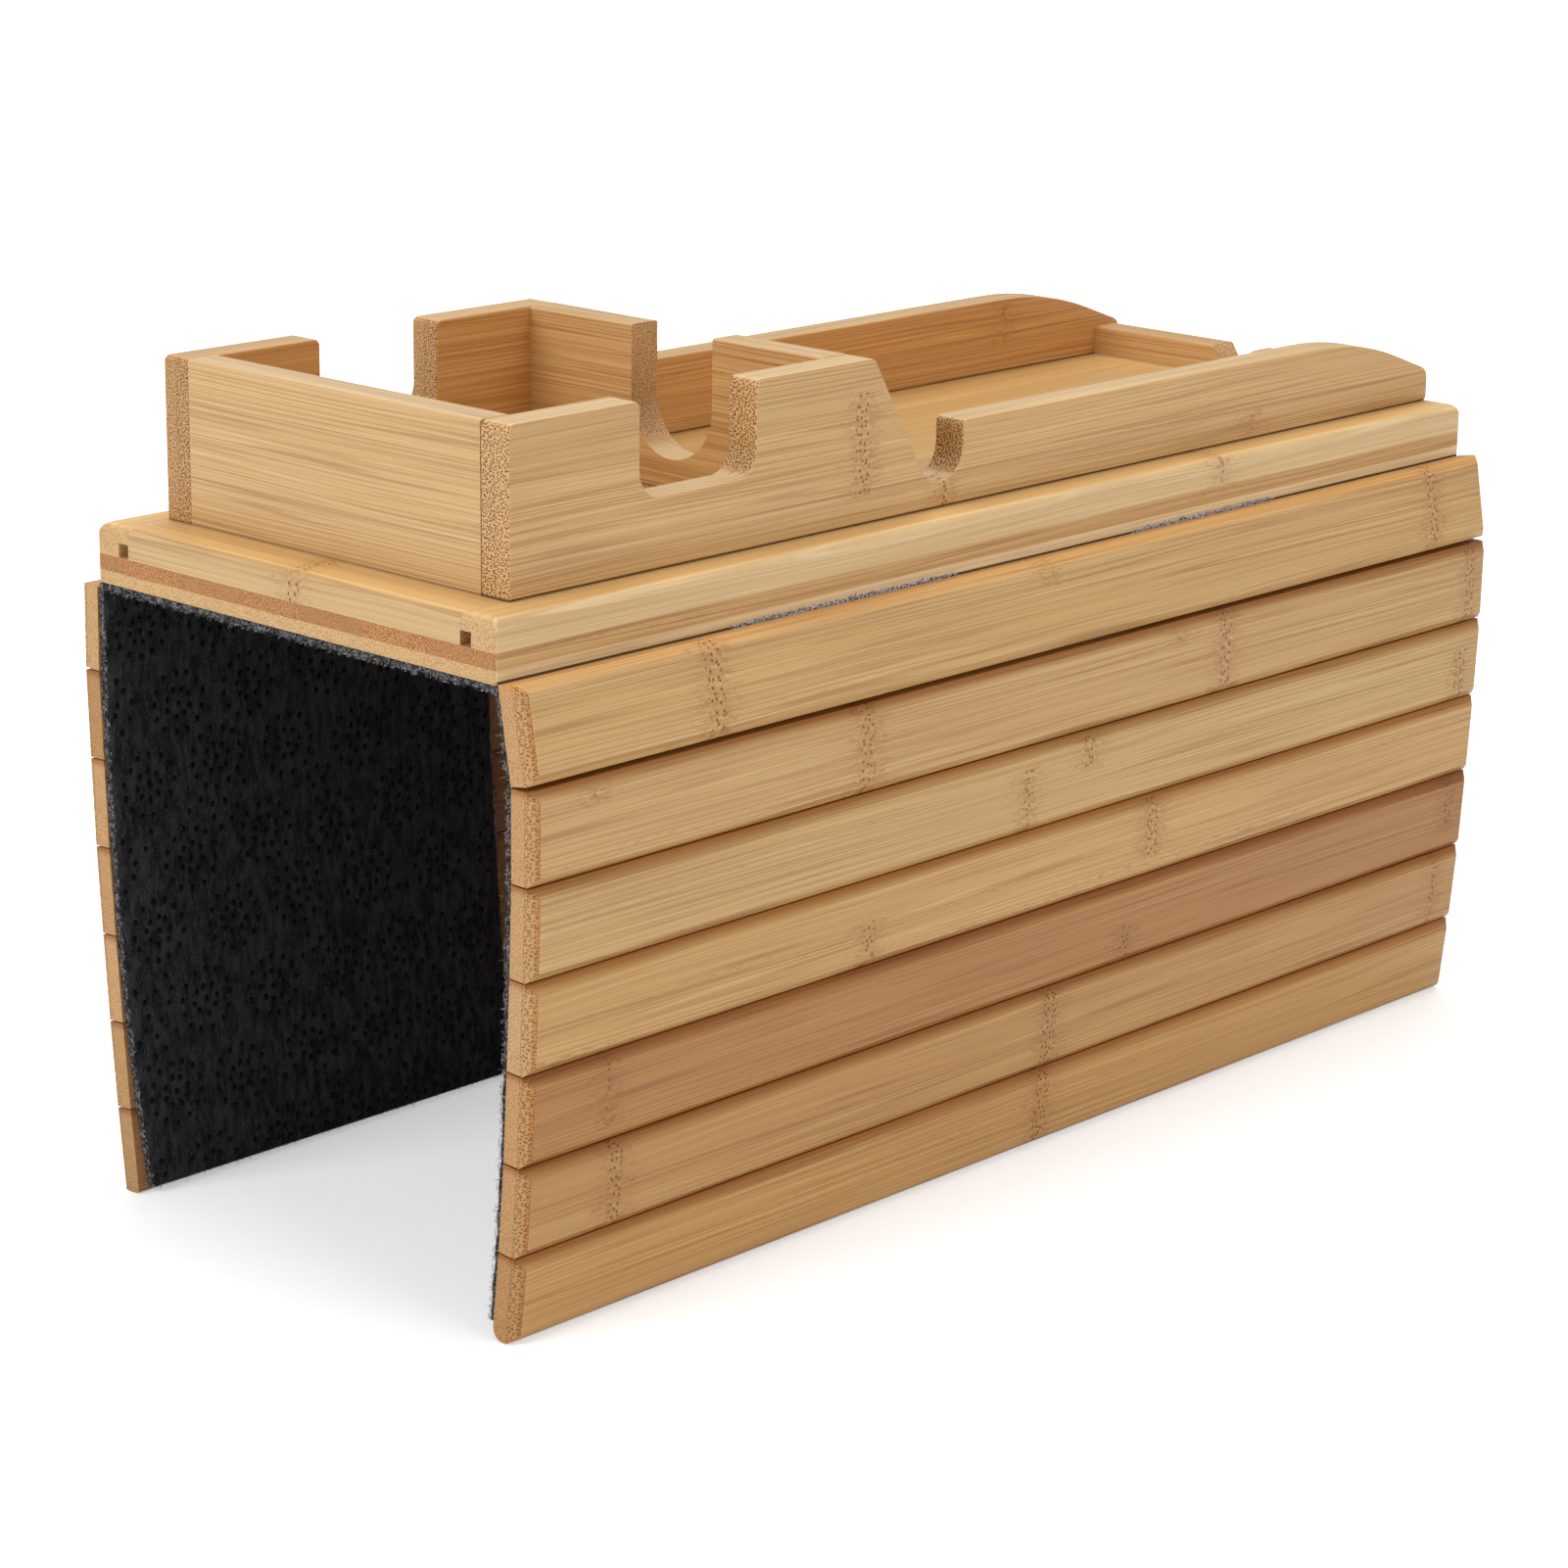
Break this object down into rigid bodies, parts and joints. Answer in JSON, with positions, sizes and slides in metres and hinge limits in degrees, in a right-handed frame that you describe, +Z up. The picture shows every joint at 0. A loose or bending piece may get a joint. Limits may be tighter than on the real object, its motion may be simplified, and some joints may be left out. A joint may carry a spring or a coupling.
{
  "type": "sofa arm tray",
  "caption": "Bamboo tray for a sofa arm, with a notched cup box and a long shallow tray on a board, and a felt-hinged slatted flap hanging from each long side.",
  "frame": {"origin": "centre of the front felt pad's underside, which rests on the sofa arm", "axes": "+Y along the sofa arm from the cup box to the tray end, +X across it to the right flap, +Z up"},
  "size_m": [0.1744, 0.4, 0.2294],
  "materials": {
    "bamboo": "satin lacquer",
    "bamboo_core": "satin lacquer",
    "dowel_wood": "raw",
    "screw_steel": "zinc plated",
    "felt": "needle-punched felt"
  },
  "bodies": {
    "tray": {"bottom_ply": "bamboo", "core_ply": "bamboo_core", "stile_left": "bamboo", "stile_right": "bamboo", "front_rail": "bamboo", "rear_rail": "bamboo", "centre_panel": "bamboo", "side_panel_left": "bamboo", "side_panel_right": "bamboo", "front_panel": "bamboo", "divider": "bamboo", "end_panel": "bamboo", "corner_dowels": "dowel_wood", "caddy_screws": "screw_steel", "board_felt": "felt"},
    "left_1": {"slat_left_1": "bamboo", "felt_left_1": "felt"},
    "left_2": {"slat_left_2": "bamboo", "felt_left_2": "felt"},
    "left_3": {"slat_left_3": "bamboo", "felt_left_3": "felt"},
    "left_4": {"slat_left_4": "bamboo", "felt_left_4": "felt"},
    "left_5": {"slat_left_5": "bamboo", "felt_left_5": "felt"},
    "left_6": {"slat_left_6": "bamboo", "felt_left_6": "felt"},
    "left_7": {"slat_left_7": "bamboo", "felt_left_7": "felt"},
    "right_1": {"slat_right_1": "bamboo", "felt_right_1": "felt"},
    "right_2": {"slat_right_2": "bamboo", "felt_right_2": "felt"},
    "right_3": {"slat_right_3": "bamboo", "felt_right_3": "felt"},
    "right_4": {"slat_right_4": "bamboo", "felt_right_4": "felt"},
    "right_5": {"slat_right_5": "bamboo", "felt_right_5": "felt"},
    "right_6": {"slat_right_6": "bamboo", "felt_right_6": "felt"},
    "right_7": {"slat_right_7": "bamboo", "felt_right_7": "felt"}
  },
  "joints": [
    {"name": "left_hinge_1", "type": "hinge", "parent": "tray", "child": "left_1", "pos_m": [-0.0769, 0.1233, 0.0025], "axis": [0, 1, 0], "range_deg": [-21, 89]},
    {"name": "left_hinge_2", "type": "hinge", "parent": "left_1", "child": "left_2", "pos_m": [-0.07733, 0.1233, -0.0221], "axis": [0, -1, 0], "range_deg": [-3, 42]},
    {"name": "left_hinge_3", "type": "hinge", "parent": "left_2", "child": "left_3", "pos_m": [-0.07648, 0.1233, -0.04633], "axis": [0, -1, 0], "range_deg": [-0.5, 44.5]},
    {"name": "left_hinge_4", "type": "hinge", "parent": "left_3", "child": "left_4", "pos_m": [-0.07543, 0.1233, -0.07056], "axis": [0, -1, 0], "range_deg": [-1.4, 43.6]},
    {"name": "left_hinge_5", "type": "hinge", "parent": "left_4", "child": "left_5", "pos_m": [-0.07378, 0.1233, -0.09475], "axis": [0, -1, 0], "range_deg": [-0.5, 44.5]},
    {"name": "left_hinge_6", "type": "hinge", "parent": "left_5", "child": "left_6", "pos_m": [-0.07192, 0.1233, -0.11893], "axis": [0, -1, 0], "range_deg": [-0.9, 44.1]},
    {"name": "left_hinge_7", "type": "hinge", "parent": "left_6", "child": "left_7", "pos_m": [-0.06968, 0.1233, -0.14308], "axis": [0, -1, 0], "range_deg": [-1.1, 43.9]},
    {"name": "right_hinge_1", "type": "hinge", "parent": "tray", "child": "right_1", "pos_m": [0.0769, 0.1233, 0.0025], "axis": [0, -1, 0], "range_deg": [-29.9, 80.1]},
    {"name": "right_hinge_2", "type": "hinge", "parent": "right_1", "child": "right_2", "pos_m": [0.08113, 0.1233, -0.02173], "axis": [0, 1, 0], "range_deg": [-10.1, 34.9]},
    {"name": "right_hinge_3", "type": "hinge", "parent": "right_2", "child": "right_3", "pos_m": [0.08104, 0.1233, -0.04598], "axis": [0, 1, 0], "range_deg": [-1.8, 43.2]},
    {"name": "right_hinge_4", "type": "hinge", "parent": "right_3", "child": "right_4", "pos_m": [0.0802, 0.1233, -0.07022], "axis": [0, 1, 0], "range_deg": [-0.7, 44.3]},
    {"name": "right_hinge_5", "type": "hinge", "parent": "right_4", "child": "right_5", "pos_m": [0.07906, 0.1233, -0.09444], "axis": [0, 1, 0], "range_deg": [-0.5, 44.5]},
    {"name": "right_hinge_6", "type": "hinge", "parent": "right_5", "child": "right_6", "pos_m": [0.0777, 0.1233, -0.11865], "axis": [0, 1, 0], "range_deg": [-1.5, 43.5]},
    {"name": "right_hinge_7", "type": "hinge", "parent": "right_6", "child": "right_7", "pos_m": [0.07572, 0.1233, -0.14282], "axis": [0, 1, 0], "range_deg": [-1.4, 43.6]}
  ]
}
